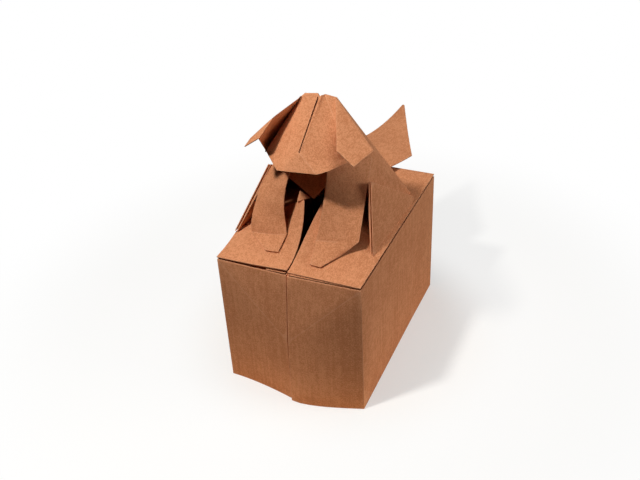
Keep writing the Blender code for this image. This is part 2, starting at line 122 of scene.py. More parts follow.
def nearest_line(points: np.ndarray, lines: list[tuple[Vector, Vector]]) -> np.ndarray:
    """Distance from each point to the nearest of some straight lines.

    Args:
        points: one row for each point, in metres.
        lines: the two ends of each line.

    Returns:
        One distance for each point, in millimetres, at most FAR_FROM_LINES.
    """
    best = np.full(len(points), FAR_FROM_LINES * MM)
    for start, end in lines:
        first, along = np.array(start), np.array(end - start)
        share = np.clip((points - first) @ along / (along @ along), 0.0, 1.0)
        gap = np.linalg.norm(points - first - share[:, None] * along, axis=1)
        best = np.minimum(best, gap)
    return best / MM


# ---- The sheet ----


@dataclass
class FoldedPatch:
    """A patch of the sheet: its corners, and the panels between its folds."""

    name: str
    corners: dict[str, Vector]
    panels: list[Panel]
    cuts: int = 6
    thickness: float = PRESSED
    bow: float = 0.22
    edge_round: float = 0.09
    soft_folds: tuple[Panel, ...] = ()
    crisp_folds: tuple[Panel, ...] = ()
    same_place: float = 0.01
    crease_angle: float = 24.0
    bend_reach: float = 5.0
    crease_reach: float = 0.2
    flat_reach: float = 6.0
    swell_size: float = 17.0
    ripple_size: float = 6.0
    ripple_share: float = 0.25
    round_angle: float = 35.0
    smooth_angle: float = 30.0
    folds: list[tuple[Vector, Vector]] = field(default_factory=list)
    rims: list[tuple[Vector, Vector]] = field(default_factory=list)

    def lay_out(self, finish: bpy.types.Material) -> bpy.types.Object:
        """Lay the panels one after another and join them along their folds.

        Args:
            finish: the kraft paper.

        Returns:
            The flat patch, in edit mode.
        """
        bpy.ops.object.select_all(action="DESELECT")
        for number, panel in enumerate(self.panels):
            if number:
                bpy.ops.mesh.select_all(action="DESELECT")
            bpy.ops.mesh.primitive_circle_add(
                vertices=len(panel), radius=MM, fill_type="NGON", location=(0, 0, 0))
            patch = bpy.context.active_object
            if not number:
                patch.name = patch.data.name = self.name
                patch.data.materials.append(finish)
                bpy.ops.object.mode_set(mode="EDIT")
            mesh = bmesh.from_edit_mesh(patch.data)
            laid = [vertex for vertex in mesh.verts if vertex.select]
            for vertex, corner in zip(laid, panel):
                vertex.co = self.corners[corner]
            bmesh.update_edit_mesh(patch.data)
        bpy.ops.mesh.select_all(action="SELECT")
        bpy.ops.mesh.remove_doubles(threshold=self.same_place * MM)
        bpy.ops.mesh.normals_make_consistent(inside=False)
        return patch

    def named_lines(self, pairs: tuple[Panel, ...]) -> list[tuple[Vector, Vector]]:
        """Ends of the lines that join named corners."""
        return [(self.corners[first], self.corners[last]) for first, last in pairs]

    def find_lines(self, patch: bpy.types.Object) -> None:
        """Note where the patch is folded and where it ends, before it is subdivided.

        Args:
            patch: the patch, in edit mode, with only its corners.
        """
        soft = [(start + end) / 2 for start, end in self.named_lines(self.soft_folds)]
        for edge in bmesh.from_edit_mesh(patch.data).edges:
            ends = tuple(vertex.co.copy() for vertex in edge.verts)
            middle = (ends[0] + ends[1]) / 2
            if any((place - middle).length < self.same_place * MM for place in soft):
                continue
            if len(edge.link_faces) == 1:
                self.rims.append(ends)
            elif len(edge.link_faces) == 2:
                if edge.calc_face_angle() > math.radians(self.crease_angle):
                    self.folds.append(ends)
        self.folds += self.named_lines(self.crisp_folds)

    def relax(self, patch: bpy.types.Object) -> None:
        """Turn the soft folds into bends that spread over a few millimetres.

        Args:
            patch: the subdivided patch, in edit mode.
        """
        mesh = bmesh.from_edit_mesh(patch.data)
        bpy.ops.mesh.select_all(action="DESELECT")
        points = np.array([vertex.co for vertex in mesh.verts])
        to_crease = nearest_line(points, self.folds + self.rims)
        to_bend = nearest_line(points, self.named_lines(self.soft_folds))
        for vertex, crease, bend in zip(mesh.verts, to_crease, to_bend):
            vertex.select = bool(crease > self.crease_reach and bend < self.bend_reach)
        mesh.select_flush_mode()
        bmesh.update_edit_mesh(patch.data)
        bpy.ops.mesh.vertices_smooth(factor=0.5, repeat=30)

    def pillow(self, patch: bpy.types.Object) -> None:
        """Bow the panels a little between their creases, and store where the creases are.

        Args:
            patch: the subdivided patch, in object mode.
        """
        mesh = patch.data
        points, normals = (np.empty(len(mesh.vertices) * 3) for _ in range(2))
        mesh.vertices.foreach_get("co", points)
        mesh.vertices.foreach_get("normal", normals)
        points, normals = points.reshape(-1, 3), normals.reshape(-1, 3)
        fold, rim = nearest_line(points, self.folds), nearest_line(points, self.rims)
        swell, ripple = (np.array([noise.noise(Vector(point) / (size * MM))
                                   for point in points])
                         for size in (self.swell_size, self.ripple_size))
        free = 1.0 - np.exp(-(np.minimum(fold, rim) / self.flat_reach) ** 2)
        rise = free * (swell + self.ripple_share * ripple) * self.bow * MM
        points += normals * rise[:, None]
        mesh.vertices.foreach_set("co", points.ravel())
        for name, values in (("fold", fold), ("rim", rim)):
            layer = mesh.attributes.new(name, "FLOAT", "POINT")
            layer.data.foreach_set("value", values.astype(np.float32))
        mesh.update()

    def thicken(self, patch: bpy.types.Object) -> None:
        """Give the patch its thickness and rounded edges, and apply both.

        Args:
            patch: the patch, in object mode.
        """
        wall = patch.modifiers.new("pressed_layers", "SOLIDIFY")
        wall.thickness = self.thickness * MM
        wall.offset = 0.0
        wall.use_even_offset = True
        wall.use_quality_normals = True
        bpy.ops.object.modifier_apply(modifier=wall.name)
        rounding = patch.modifiers.new("rounded_edges", "BEVEL")
        rounding.width = self.edge_round * MM
        rounding.segments = 2
        rounding.limit_method = "ANGLE"
        rounding.angle_limit = math.radians(self.round_angle)
        rounding.use_clamp_overlap = False
        bpy.ops.object.modifier_apply(modifier=rounding.name)
        bpy.ops.object.shade_smooth_by_angle(angle=math.radians(self.smooth_angle))

    def make(self, finish: bpy.types.Material) -> bpy.types.Object:
        """Args:
            finish: the kraft paper.

        Returns:
            The finished piece, which stands for the folded sheet's solid.
        """
        patch = self.lay_out(finish)
        self.find_lines(patch)
        bpy.ops.mesh.select_all(action="SELECT")
        bpy.ops.mesh.subdivide(number_cuts=self.cuts, smoothness=0.0)
        if self.soft_folds:
            self.relax(patch)
        bpy.ops.object.mode_set(mode="OBJECT")
        self.pillow(patch)
        self.thicken(patch)
        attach(patch, "root")
        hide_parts(NODE)
        log.info("%s: %d faces", self.name, len(patch.data.polygons))
        return patch


class FoldedPart:
    """A part of the dog or its box, folded patch by patch."""

    def patches(self) -> list[FoldedPatch]:
        """Patches of the part, in the order in which they are folded."""
        raise NotImplementedError

    def make(self, finish: bpy.types.Material) -> list[bpy.types.Object]:
        """Fold every patch of the part in the given paper."""
        return [patch.make(finish) for patch in self.patches()]


# ---- Finish ----


class Bench:
    """Nodes of one material or of the world."""

    def __init__(self, owner: bpy.types.ID) -> None:
        """Clear the nodes.

        Args:
            owner: the material or the world that they belong to.
        """
        owner.use_nodes = True
        self.tree = owner.node_tree
        self.tree.nodes.clear()

    def node(self, kind: str, settings: dict | None = None, out: int | str = 0,
             **sockets: object) -> "Value":
        """Add a node.

        Args:
            kind: the node's type.
            settings: properties of the node, set before its sockets.
            out: which of the node's outputs is wanted.
            **sockets: value or link of each input, keyed as in_NUMBER or by its name.

        Returns:
            The wanted output.
        """
        made = self.tree.nodes.new(kind)
        for name, setting in (settings or {}).items():
            setattr(made, name, setting)
        for name, given in sockets.items():
            socket = made.inputs[int(name[3:]) if name.startswith("in_") else name]
            if isinstance(given, Value):
                self.tree.links.new(given.socket, socket)
            else:
                socket.default_value = given
        return Value(self, made.outputs[out])

    def mix(self, share: "Value", first: "Value", last: "Value") -> "Value":
        """Mix of two shaders, by the share of the last one."""
        return self.node("ShaderNodeMixShader", in_0=share, in_1=first, in_2=last)

    def camera_rays(self) -> "Value":
        """One for rays from the camera, a mirror or glass, and nought for light on the dog.

        Returns:
            The mask.
        """
        seen, glossy, through = (
            self.node("ShaderNodeLightPath", out=name)
            for name in ("Is Camera Ray", "Is Glossy Ray", "Is Transmission Ray"))
        return seen.maths("MINIMUM", seen + glossy + through, 1.0)

    def close(self, kind: str, surface: "Value") -> None:
        """Join the finished shader to an output node of the given type."""
        output = self.tree.nodes.new(kind)
        self.tree.links.new(surface.socket, output.inputs[0])


class Value:
    """A number or colour that varies over a material, with arithmetic on it."""

    def __init__(self, bench: Bench, socket: bpy.types.NodeSocket) -> None:
        """Keep the socket and the bench that it belongs to."""
        self.bench = bench
        self.socket = socket

    def maths(self, operation: str, first: object, second: object) -> "Value":
        """One step of arithmetic."""
        return self.bench.node("ShaderNodeMath", {"operation": operation},
                               in_0=first, in_1=second)

    def __add__(self, other: object) -> "Value":
        """This value plus another."""
        return self.maths("ADD", self, other)

    __radd__ = __add__

    def __mul__(self, other: object) -> "Value":
        """This value times another."""
        return self.maths("MULTIPLY", self, other)

    __rmul__ = __mul__

    def __sub__(self, other: object) -> "Value":
        """This value less another."""
        return self.maths("SUBTRACT", self, other)

    def __rsub__(self, other: object) -> "Value":
        """Another value less this one."""
        return self.maths("SUBTRACT", other, self)

    def ramp(self, low: float, high: float, first: float = 0.0, last: float = 1.0) -> "Value":
        """Smooth step from first to last as this value goes from low to high."""
        return self.bench.node("ShaderNodeMapRange", {"interpolation_type": "SMOOTHSTEP"},
                               in_0=self, in_1=low, in_2=high, in_3=first, in_4=last)

    def blend(self, first: object, second: object) -> "Value":
        """Mix of two colours by this value."""
        return self.bench.node("ShaderNodeMix", {"data_type": "RGBA"}, 2,
                               in_0=self, in_6=first, in_7=second)


@dataclass(frozen=True)
class KraftPaper:
    """Brown kraft paper: matt, mottled, faintly ribbed, and worn pale along its folds."""

    colour: Colour = (0.60, 0.245, 0.112)
    deep: Colour = (0.525, 0.200, 0.086)
    worn: Colour = (0.72, 0.36, 0.20)
    mottling: tuple[float, float] = (0.35, 0.65)
    roughness: float = 0.82
    roughness_spread: float = 0.10
    shine: float = 0.08
    fold_wear: tuple[float, float] = (0.42, 0.6)
    rim_wear: tuple[float, float] = (0.35, 0.5)
    least_wear: float = 0.05
    relief_height: float = 0.06
    relief_strength: float = 0.22

    def make(self) -> bpy.types.Material:
        """Build the material.

        Returns:
            The paper.
        """
        material = bpy.data.materials.new(SLOT)
        bench = Bench(material)
        place = bench.node("ShaderNodeTexCoord", out="Object")
        ribs_at = bench.node("ShaderNodeMapping", Vector=place, Scale=(1.0, 1.0, 0.03))
        fibres_at = bench.node("ShaderNodeMapping", Vector=place, Rotation=(0.5, 0.3, 0.8),
                               Scale=(1.0, 0.16, 1.0))
        cloud = self.noise(place, 60.0, 3.0)
        mottle = self.noise(place, 420.0, 3.0)
        grain = self.noise(place, 2100.0, 2.0)
        ribs = self.noise(ribs_at, 900.0, 2.0)
        fibres = self.noise(fibres_at, 2600.0, 1.0)
        shade = (cloud * 0.30 + mottle * 0.35 + grain * 0.70 + ribs * 0.35 + fibres * 0.45
                 - 0.575)
        base = shade.ramp(*self.mottling).blend((*self.deep, 1.0), (*self.pale(), 1.0))
        worn = self.wear("fold", *self.fold_wear, mottle)
        frayed = self.wear("rim", *self.rim_wear, mottle)
        colour = worn.maths("MAXIMUM", worn, frayed).blend(base, (*self.worn, 1.0))
        rough = self.roughness + self.roughness_spread * (grain - 0.5)
        relief = bench.node("ShaderNodeBump", Strength=self.relief_strength,
                            Distance=self.relief_height * MM,
                            Height=grain * 0.5 + fibres * 0.5 + ribs * 0.6)
        bench.close("ShaderNodeOutputMaterial", bench.node("ShaderNodeBsdfPrincipled", **{
            "Base Color": colour, "Roughness": rough, "Normal": relief,
            "Specular IOR Level": self.shine}))
        return material

    def pale(self) -> Colour:
        """Lightest of the mottling, as far over the colour as the deep one is under."""
        return tuple(2 * middle - low for middle, low in zip(self.colour, self.deep))

    def wear(self, line: str, width: float, most: float, mottle: Value) -> Value:
        """Wear near the lines of an attribute, over a width in millimetres."""
        gap = mottle.bench.node("ShaderNodeAttribute", {"attribute_name": line}, "Fac")
        return gap.ramp(0.0, width, 1.0, 0.0) * (self.least_wear + most * mottle)

    @staticmethod
    def noise(place: Value, scale: float, detail: float) -> Value:
        """Even noise at a scale, from 0 to 1 about one half."""
        return place.bench.node("ShaderNodeTexNoise", {"noise_dimensions": "3D"},
                                Vector=place, Scale=scale, Detail=detail, Roughness=0.6)


# ---- Box ----


@dataclass
class BoxHalf:
    """One half of the tray, up to the seam in the middle of its front."""

    hand: Hand
    seam_top: float
    seam_middle: float
    seam_foot: float
    foot_bow: float
    foot_power: float
    front_out: float
    rear_out: float
    crease_bow: float
    rear_foot_out: float = 0.2
    seam_gap: float = 0.42
    columns: int = 8
    gusset_drop: float = 31.0
    seam_return: float = 4.0
    return_foot_up: float = 1.0
    rim_drop: float = 1.3
    tuck: float = 0.5
    tuck_from_rear: float = 28.0
    tuck_share: float = 0.7
    bow_peak: float = 0.7
    wall: float = PRESSED / 2

    def side(self) -> float:
        """Distance of the front corner from the middle."""
        return SIDE + self.front_out - self.wall

    def seam_x(self) -> float:
        """Distance of the seam's edge from the middle."""
        return (self.seam_gap + PRESSED) / 2

    def foot_line(self, share: float) -> Place:
        """Place on the bottom front edge.

        Args:
            share: how far along, from the seam at 0 to the corner at 1.

        Returns:
            The place.
        """
        bulge = self.seam_foot * (1.0 - share) ** self.foot_power
        bow = self.foot_bow * math.sin(math.pi * share ** self.bow_peak)
        return (self.seam_x() + (self.side() - self.seam_x()) * share,
                self.wall - bulge - bow, self.wall - BOX_HEIGHT)

    def patch(self) -> FoldedPatch:
        """Lay out this half, from the seam round to the middle of the rear.

        Returns:
            The patch.
        """
        side, seam, wall = self.side(), self.seam_x(), self.wall
        rear_side = SIDE + self.rear_out - wall
        crease_side = side + (rear_side - side) * self.tuck_share
        high, middle, low = -self.rim_drop, -self.gusset_drop, wall - BOX_HEIGHT
        rear = BOX_DEPTH - wall
        crease = rear - self.tuck_from_rear
        places: dict[str, Place] = {
            "front_top": (side, wall, high),
            "seam_top": (seam, wall - self.seam_top, high),
            "side_top": (crease_side, crease, high),
            "side_foot": (crease_side - self.tuck, crease, low),
            "rear_top": (rear_side, rear, high),
            "rear_foot": (SIDE + self.rear_foot_out - wall, rear, low),
            "back_top": (0.0, rear, high),
            "back_foot": (0.0, rear, low),
        }
        for level, bulge, height in (("top", self.seam_top, high),
                                     ("middle", self.seam_middle, middle),
                                     ("foot", self.seam_foot, low + self.return_foot_up)):
            places[f"return_{level}"] = (seam, wall - bulge + self.seam_return, height)
        panels: list[Panel] = [
            ("side_top", "side_foot", "rear_foot", "rear_top"),
            ("rear_top", "rear_foot", "back_foot", "back_top"),
            ("side_foot", "rear_foot", "back_foot"),
            ("front_top", f"foot_{self.columns}", "side_foot", "side_top"),
            ("seam_top", "return_top", "return_middle", "crease_0"),
            ("crease_0", "return_middle", "return_foot", "foot_0"),
        ]
        crisp: list[Panel] = [("side_top", "side_foot")]
        for step in range(self.columns + 1):
            share = step / self.columns
            x, from_front, height = between((seam, wall - self.seam_middle, middle),
                                            places["front_top"], share)
            places[f"crease_{step}"] = (
                x, from_front - self.crease_bow * math.sin(math.pi * share), height)
            places[f"foot_{step}"] = self.foot_line(share)
            places[f"floor_{step}"] = between((seam, crease, low), places["side_foot"], share)
            if step:
                before = f"crease_{step - 1}"
                panels += [strip("crease", "foot", step), strip("foot", "floor", step),
                           (f"floor_{step - 1}", "back_foot", f"floor_{step}"),
                           ("seam_top", before, f"crease_{step}")]
                crisp.append((before, f"crease_{step}"))
        corners = {name: at(place, self.hand) for name, place in places.items()}
        return FoldedPatch(f"box_half_{self.hand.tag}", corners, panels, cuts=5, bow=0.35,
                           crisp_folds=tuple(crisp), edge_round=0.12)


@dataclass
class BoxTray(FoldedPart):
    """The tray: walls, floor, the seam of its front and the rim under the lid."""

    right: BoxHalf = field(default_factory=lambda: BoxHalf(
        Hand.RIGHT, seam_top=1.0, seam_middle=4.6, seam_foot=5.9, foot_bow=1.5,
        foot_power=1.0, front_out=0.1, rear_out=0.6, crease_bow=0.5))
    left: BoxHalf = field(default_factory=lambda: BoxHalf(
        Hand.LEFT, seam_top=0.6, seam_middle=4.2, seam_foot=4.7, foot_bow=0.0,
        foot_power=1.6, front_out=0.55, rear_out=0.3, crease_bow=0.2))
    ledge_inset: float = 1.1
    ledge_height: float = 7.0
    backing_half: float = 3.0
    backing_line: tuple[tuple[float, float], ...] = (
        (4.2, -1.6), (0.4, -31.0), (-0.9, -61.0), (BOX_DEPTH - 3.0, -61.0))
    layer_bulge: float = 0.7
    layer_near: float = -0.88
    layer_far: float = -0.80
    layer_depth: float = 4.0

    def patches(self) -> list[FoldedPatch]:
        """Both halves of the tray and its inner layers."""
        return [self.right.patch(), self.left.patch(), self.ledge(), self.seam_backing(),
                self.rim_layer(Hand.RIGHT, (1.2, 0.15), (29.3, 0.35)),
                self.rim_layer(Hand.LEFT, (-9.0, 0.35), (-0.9, 0.75))]

    def ledge(self) -> FoldedPatch:
        """Lay out the inner walls, set back, that carry the lid and darken the gap under it.

        Returns:
            The patch.
        """
        side = SIDE - self.ledge_inset
        near, far = self.ledge_inset, BOX_DEPTH - self.ledge_inset
        corners: dict[str, Vector] = {}
        panels: list[Panel] = []
        ring = [(-side, near), (side, near), (side, far), (-side, far)]
        for number, (x, from_front) in enumerate(ring):
            corners[f"top_{number}"] = at((x, from_front, -PRESSED / 2))
            corners[f"foot_{number}"] = at((x, from_front, -self.ledge_height))
            after = (number + 1) % len(ring)
            panels.append((f"top_{number}", f"foot_{number}", f"foot_{after}", f"top_{after}"))
        return FoldedPatch("lid_ledge", corners, panels, cuts=2, bow=0.0)

    def seam_backing(self) -> FoldedPatch:
        """Lay out the paper inside the box that closes the seam of its front and its floor.

        Returns:
            The patch.
        """
        corners = {f"{hand.tag}_{number}": at((self.backing_half, *station), hand)
                   for number, station in enumerate(self.backing_line) for hand in Hand}
        panels = [(f"left_{number - 1}", f"left_{number}", f"right_{number}",
                   f"right_{number - 1}") for number in range(1, len(self.backing_line))]
        return FoldedPatch("seam_backing", corners, panels, cuts=3, bow=0.0, thickness=0.4)

    def rim_layer(self, hand: Hand, *ends: tuple[float, float]) -> FoldedPatch:
        """Lay out paper that shows as a thin line in the gap under the lid.

        Args:
            hand: side of the layer.
            *ends: x of each end, and how far it stands behind the box's front edge.

        Returns:
            The patch.
        """
        corners: dict[str, Vector] = {}
        for name, (x, behind) in zip(("start", "end"), ends):
            from_front = behind - self.layer_bulge * (1 - abs(x) / SIDE)
            corners[f"near_{name}"] = at((x, from_front, self.layer_near))
            corners[f"far_{name}"] = at((x, self.layer_depth, self.layer_far))
        panels: list[Panel] = [("near_start", "near_end", "far_end", "far_start")]
        return FoldedPatch(f"rim_layer_{hand.tag}", corners, panels, cuts=9, bow=0.0,
                           thickness=0.22, edge_round=0.04)


# ---- Lid ----


@dataclass
class Lid(FoldedPart):
    """Two panels that rise towards the chest, with a slit between them."""

    half_at_front: float = 0.12
    half_at_chest: float = 3.8
    opening_power: float = 3.0
    rise: float = 16.1
    rise_power: float = 1.7
    peak_from_front: float = 27.0
    slit_end: float = BOX_DEPTH - 20.0
    flat_row: float = 10.0
    edge_inset: float = 0.2
    left_edge_out: float = 0.75
    right_edge_out: float = 0.1
    right_edge_spread: float = 0.6
    left_edge_lift: float = 1.0
    left_edge_lift_at: float = 21.0
    left_edge_lift_reach: float = 9.0
    left_corner_lift: float = 1.0
    left_corner_reach: float = 7.0
    curl_power: float = 3.0
    curl_out: float = 0.5
    front_rows: int = 14
    rear_rows: int = 8
    columns: int = 4

    def fall(self) -> float:
        """Distance behind the chest over which the lid falls flat."""
        return self.slit_end - self.peak_from_front

    def behind(self, from_front: float) -> float:
        """Share of the rise that is left behind the chest."""
        return max(0.0, 1.0 - (from_front - self.peak_from_front) / self.fall())

    def height(self, from_front: float) -> float:
        """Height of the slit's edge over the box.

        Args:
            from_front: distance from the box's front edge.

        Returns:
            The height.
        """
        if from_front <= self.peak_from_front:
            return self.rise * (from_front / self.peak_from_front) ** self.rise_power
        return self.rise * self.behind(from_front)

    def slit(self, from_front: float) -> float:
        """Half of the slit's width.

        Args:
            from_front: distance from the box's front edge.

        Returns:
            The distance of the slit's edge from the middle.
        """
        if from_front <= self.peak_from_front:
            share = (from_front / self.peak_from_front) ** self.opening_power
        else:
            share = self.behind(from_front)
        return self.half_at_front + (self.half_at_chest - self.half_at_front) * share

    def surface(self, x: float, from_front: float) -> Place:
        """Middle of the lid's paper at a place of the viewer's right half.

        Args:
            x: distance from the middle.
            from_front: distance from the box's front edge.

        Returns:
            The place.
        """
        half = self.slit(from_front)
        share = min(max((x - half) / (SIDE - half), 0.0), 1.0)
        return (x, from_front, self.height(from_front) * (1.0 - share) - PRESSED / 2)

    def rows(self) -> list[float]:
        """Distances from the front edge at which the panels get a row of corners.

        Returns:
            The distances, from the front to the rear.
        """
        front = [self.peak_from_front * step / self.front_rows
                 for step in range(self.front_rows)]
        rear = [self.peak_from_front + self.fall() * step / self.rear_rows
                for step in range(self.rear_rows + 1)]
        return front + rear + [self.slit_end + self.flat_row, BOX_DEPTH]

    def panel(self, hand: Hand) -> FoldedPatch:
        """Lay out one panel of the lid.

        Args:
            hand: side of the panel.

        Returns:
            The patch.
        """
        corners: dict[str, Vector] = {}
        panels: list[Panel] = []
        for row, from_front in enumerate(self.rows()):
            inner = self.slit(from_front)
            out = self.right_edge_out + self.right_edge_spread * from_front / BOX_DEPTH
            lift = corner = 0.0
            if hand is Hand.LEFT:
                out = self.left_edge_out
                off = (from_front - self.left_edge_lift_at) / self.left_edge_lift_reach
                lift = self.left_edge_lift * math.exp(-off * off)
                off = from_front / self.left_corner_reach
                corner = self.left_corner_lift * math.exp(-off * off)
            outer = SIDE - self.edge_inset + out
            for column in range(self.columns + 1):
                share = column / self.columns
                x, _, height = self.surface(inner + (outer - inner) * share, from_front)
                curl = lift * share ** self.curl_power
                raised = curl + corner * (1.0 - share) ** 2
                corners[f"{row}_{column}"] = at(
                    (x + self.curl_out * curl, from_front, height + raised), hand)
                if row and column:
                    panels.append(cell(row, column))
        return FoldedPatch(f"lid_panel_{hand.tag}", corners, panels, cuts=3, bow=0.3)

    def patches(self) -> list[FoldedPatch]:
        """Both panels of the lid."""
        return [self.panel(hand) for hand in Hand]


# ---- Legs and back ----


@dataclass
class ForeLeg:
    """One front leg with its paw, from the lid up to the shoulder."""

    hand: Hand
    foot_inner: Place
    foot_outer: Place
    bend_inner: Place
    bend_outer: Place
    paw_from_front: float
    paw_shift: float = 0.0
    dent: float = 0.0
    dent_at: float = 0.13
    dent_slant: float = 0.20
    dent_width: float = 0.11
    neck: Place = (6.0, 29.3, 35.2)
    shoulder: Place = (18.0, 44.3, 29.2)
    crown: float = 0.7
    toe_x: float = 7.3
    knuckle_x: float = 11.6
    knuckle_at: float = 0.34
    heel_x: float = 16.8
    heel_from_front: float = 13.3
    heel_at: float = 0.999
    paw_clearance: float = 0.45
    rows: int = 14
    columns: int = 6

    def net(self, lid: Lid) -> tuple[dict[str, Vector], list[Panel]]:
        """Corners and panels of the leg and the paw.

        Args:
            lid: the lid that the paw lies over.

        Returns:
            The corners by name, and the panels between them.
        """
        corners: dict[str, Vector] = {}
        panels: list[Panel] = []
        for row in range(self.rows + 1):
            share = row / self.rows
            inner = at(bent(self.foot_inner, self.bend_inner, self.neck, share), self.hand)
            outer = at(bent(self.foot_outer, self.bend_outer, self.shoulder, share), self.hand)
            across = outer - inner
            outward = Vector((across.y, -across.x, 0.0)).normalized() * self.hand.value
            for column in range(self.columns + 1):
                along = column / self.columns
                off_line = (share - self.dent_at - self.dent_slant * along) / self.dent_width
                dent = self.dent * math.exp(-off_line * off_line)
                crown = (self.crown * 4.0 * along * (1.0 - along) - dent) * MM
                corners[f"leg_{row}_{column}"] = inner.lerp(outer, along) + outward * crown
                if row and column:
                    panels.append(cell(row, column, "leg_"))
        for column in range(self.columns + 1):
            corners[f"toe_{column}"] = at(self.toe(lid, column / self.columns), self.hand)
            if column:
                panels.append((f"toe_{column - 1}", f"toe_{column}", f"leg_0_{column}",
                               f"leg_0_{column - 1}"))
        return corners, panels

    def toe(self, lid: Lid, share: float) -> Place:
        """Place on the paw's outline, from its inner tip round to the leg's outer edge.

        Args:
            lid: the lid that the paw lies over.
            share: how far along the outline, from 0 to 1.

        Returns:
            The place, clear of the lid's paper.
        """
        tip = (self.toe_x, self.paw_from_front, 0.0)
        knuckle = (self.knuckle_x + self.paw_shift / 2, self.paw_from_front, 0.0)
        heel = (self.heel_x + self.paw_shift, self.heel_from_front, 0.0)
        if share <= self.knuckle_at:
            x, from_front, _ = between(tip, knuckle, share / self.knuckle_at)
        else:
            part = (share - self.knuckle_at) / (self.heel_at - self.knuckle_at)
            x, from_front, _ = between(knuckle, heel, min(part, 1.0))
        height = lid.surface(x, from_front)[2]
        return (x, from_front, height + PRESSED + self.paw_clearance)


@dataclass
class Cape(FoldedPart):
    """Back and flanks of the dog with both front legs, folded over the lid."""

    lid: Lid
    right: ForeLeg = field(default_factory=lambda: ForeLeg(
        Hand.RIGHT, foot_inner=(6.3, 14.4, 6.7), foot_outer=(22.2, 18.9, 6.7),
        bend_inner=(8.0, 21.9, 21.0), bend_outer=(20.8, 29.6, 18.6), paw_from_front=5.4))
    left: ForeLeg = field(default_factory=lambda: ForeLeg(
        Hand.LEFT, foot_inner=(7.0, 15.6, 5.6), foot_outer=(23.0, 16.2, 3.2),
        bend_inner=(13.1, 22.5, 20.4), bend_outer=(24.3, 19.4, 19.6), paw_from_front=7.9,
        paw_shift=2.5, dent=0.75))
    rump: Place = (25.3, RUMP_FROM_FRONT, -PRESSED / 2)
    spine_foot: Place = (0.0, RUMP_FROM_FRONT, 1.5 - PRESSED / 2)
    right_flap_foot: Place = (26.8, 19.3, 0.0)
    left_flap_foot: Place = (30.1, 16.6, 1.5)
    flank_first_row: int = 10
    return_end: float = 0.80
    return_rows: int = 10
    return_line: tuple[Place, Place, Place] = (
        (5.6, 17.6, 6.6), (5.4, 26.2, 13.6), (8.6, 28.0, 26.5))

    def patches(self) -> list[FoldedPatch]:
        """Both sides with their legs, and the paper that shows beside the legs."""
        return [self.side(self.right, self.right_flap_foot), self.leg_return(self.right),
                self.side(self.left, self.left_flap_foot), self.lid_tuck()]

    def side(self, leg: ForeLeg, flap_foot: Place) -> FoldedPatch:
        """Lay out one side.

        Args:
            leg: the front leg of the side.
            flap_foot: where the flank's inner flap comes down.

        Returns:
            The patch.
        """
        corners, panels = leg.net(self.lid)
        for name, place in (("rump", self.rump), ("ear_root", EAR_ROOT), ("peak", PEAK),
                            ("flap_foot", flap_foot), ("spine_foot", self.spine_foot),
                            ("notch", NOTCH)):
            corners[name] = at(place, leg.hand)
        last = leg.columns
        for row in range(self.flank_first_row, leg.rows):
            panels.append((f"leg_{row}_{last}", "rump", f"leg_{row + 1}_{last}"))
        panels.append((f"leg_{leg.rows}_{last}", "rump", "ear_root"))
        panels.append((f"leg_{self.flank_first_row}_{last}", "flap_foot", "rump"))
        for column in range(last):
            panels.append((f"leg_{leg.rows}_{column}", f"leg_{leg.rows}_{column + 1}",
                           "ear_root"))
        panels += [("spine_foot", "rump", "ear_root"), ("spine_foot", "ear_root", "peak"),
                   ("spine_foot", "peak", "notch")]
        return FoldedPatch(f"cape_{leg.hand.tag}", corners, panels, cuts=2, bow=0.15)

    def leg_return(self, leg: ForeLeg) -> FoldedPatch:
        """Lay out paper that turns back from a leg's inner edge, in the shade of the chest.

        Args:
            leg: the leg.

        Returns:
            The patch.
        """
        corners: dict[str, Vector] = {}
        for row in range(self.return_rows + 1):
            share = row / self.return_rows
            inner = bent(leg.foot_inner, leg.bend_inner, leg.neck, share * self.return_end)
            corners[f"near_{row}"] = at(inner, leg.hand)
            corners[f"far_{row}"] = at(bent(*self.return_line, share), leg.hand)
        panels = [strip("near", "far", row) for row in range(1, self.return_rows + 1)]
        return FoldedPatch(f"leg_return_{leg.hand.tag}", corners, panels, cuts=3, bow=0.0,
                           thickness=0.4)

    @staticmethod
    def lid_tuck() -> FoldedPatch:
        """Lay out the small lit facet of the lid between the left leg and the bib.

        Returns:
            The patch.
        """
        places = {"low": (6.6, 25.9, 14.9), "tip": (1.7, 27.6, 17.1),
                  "high": (6.3, 28.6, 18.6), "under_low": (6.2, 27.2, 13.6),
                  "under_tip": (2.2, 28.6, 15.9)}
        corners = {name: at(place, Hand.LEFT) for name, place in places.items()}
        panels: list[Panel] = [("low", "tip", "high"),
                               ("low", "under_low", "under_tip", "tip")]
        return FoldedPatch("lid_tuck", corners, panels, cuts=5, bow=0.0, thickness=0.3,
                           edge_round=0.05)


